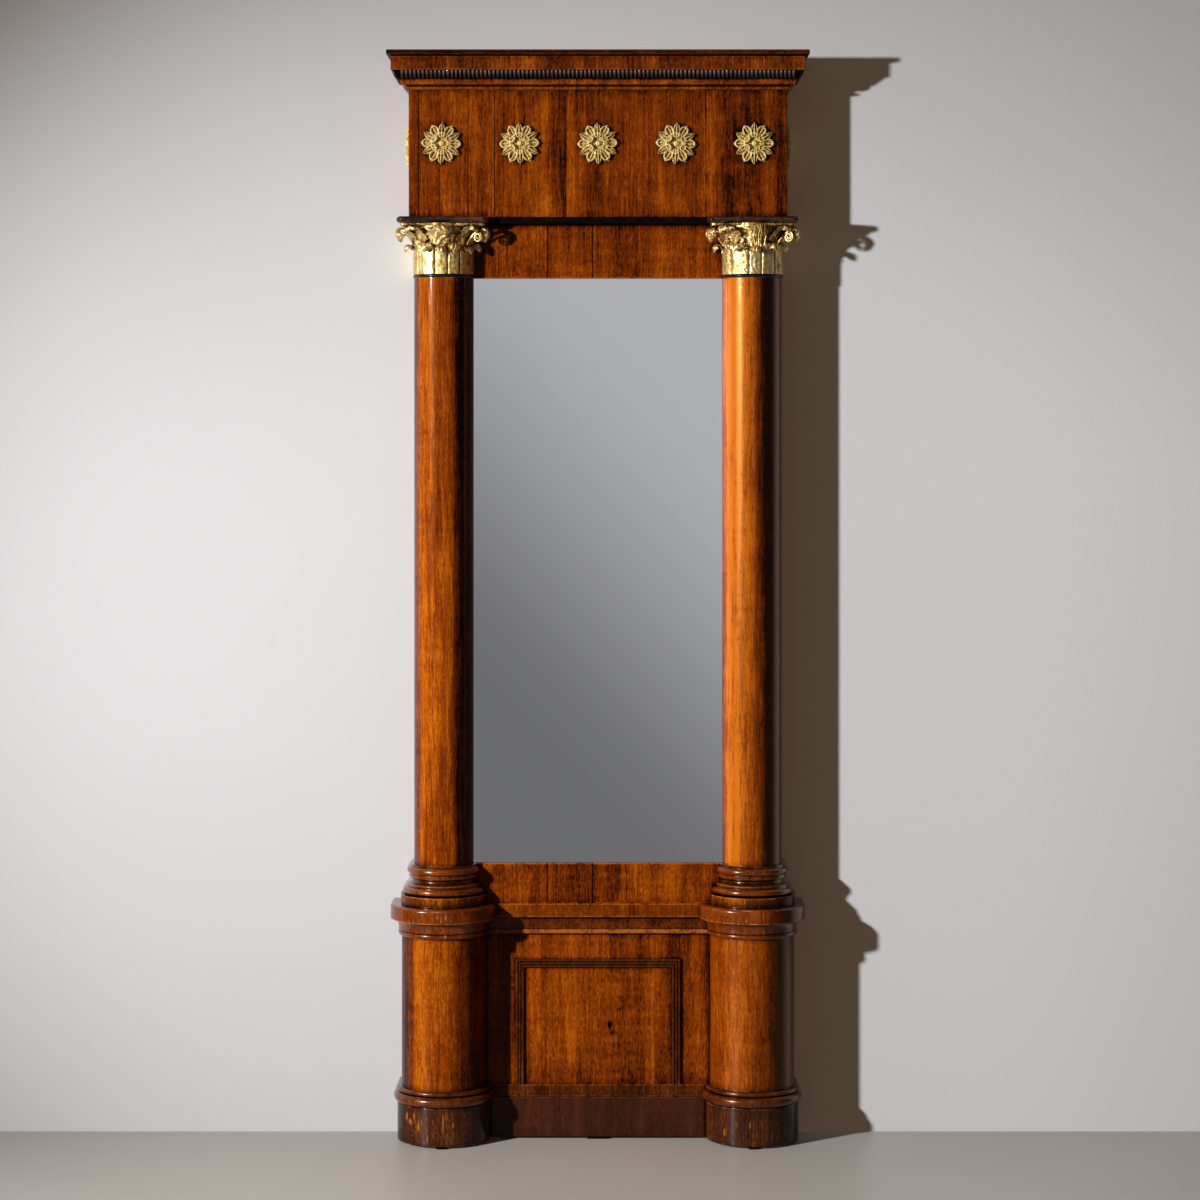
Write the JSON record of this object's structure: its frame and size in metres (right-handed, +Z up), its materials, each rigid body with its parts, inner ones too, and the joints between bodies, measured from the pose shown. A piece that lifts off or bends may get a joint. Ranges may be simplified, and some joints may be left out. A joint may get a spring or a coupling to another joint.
{
  "type": "pier mirror",
  "caption": "Tall standing wall mirror between two engaged half columns on pedestals, with gilt carved capitals, a frieze with gilt rosettes and a beaded cornice.",
  "frame": {"origin": "on the floor, in the middle of the width and the depth", "axes": "+Z up, +Y from the front to the wall, +X to the right as seen from the front"},
  "size_m": [0.964, 0.198, 2.5],
  "materials": {
    "mahogany": "polished veneer with upright grain",
    "dark_mahogany": "polished, darker and redder than the veneer",
    "ebonised_wood": "black stain under polish",
    "gilt_wood": "gold leaf over gesso, cracked and rubbed",
    "gilt_brass": "stamped and gilt, bright on the edges",
    "mirror": "silvered plate glass",
    "pine": "plain planed softwood",
    "iron": "forged, dark"
  },
  "bodies": {
    "root": {"floor_pads": "dark_mahogany", "foot_drum_left": "dark_mahogany", "foot_drum_right": "dark_mahogany", "foot_ring_left": "dark_mahogany", "foot_ring_right": "dark_mahogany", "pedestal_left": "mahogany", "pedestal_right": "mahogany", "pedestal_collar_left": "mahogany", "pedestal_collar_right": "mahogany", "pedestal_cap_left": "mahogany", "pedestal_cap_right": "mahogany", "plinth_board": "dark_mahogany", "plinth_ledge": "mahogany", "base_panel": "mahogany", "panel_moulding": "dark_mahogany", "base_cap_rail": "mahogany", "base_top_board": "pine", "base_backboard": "pine", "column_plinth_left": "dark_mahogany", "column_plinth_right": "dark_mahogany", "column_base_left": "mahogany", "column_base_right": "mahogany", "column_left": "mahogany", "column_right": "mahogany", "astragal_left": "ebonised_wood", "astragal_right": "ebonised_wood", "capital_left": "gilt_wood", "capital_right": "gilt_wood", "abacus_left": "ebonised_wood", "abacus_right": "ebonised_wood", "stile_left": "mahogany", "stile_right": "mahogany", "lower_rail": "mahogany", "upper_rail": "mahogany", "mirror_glass": "mirror", "glass_backboard": "pine", "glass_fillets": "pine", "frieze_soffit": "ebonised_wood", "frieze_front": "mahogany", "frieze_side_left": "mahogany", "frieze_side_right": "mahogany", "frieze_backboard": "pine", "frieze_corner_blocks": "pine", "hanging_rail": "pine", "rosette_1": "gilt_brass", "rosette_2": "gilt_brass", "rosette_3": "gilt_brass", "rosette_4": "gilt_brass", "rosette_5": "gilt_brass", "rosette_side_left": "gilt_brass", "rosette_side_right": "gilt_brass", "cornice_bed_moulding": "mahogany", "cornice_bead_strip": "ebonised_wood", "cornice_beads": "ebonised_wood", "cornice_fascia": "mahogany", "cornice_slab": "dark_mahogany", "wall_plates": "iron", "wall_plate_screws": "iron"}
  },
  "joints": []
}
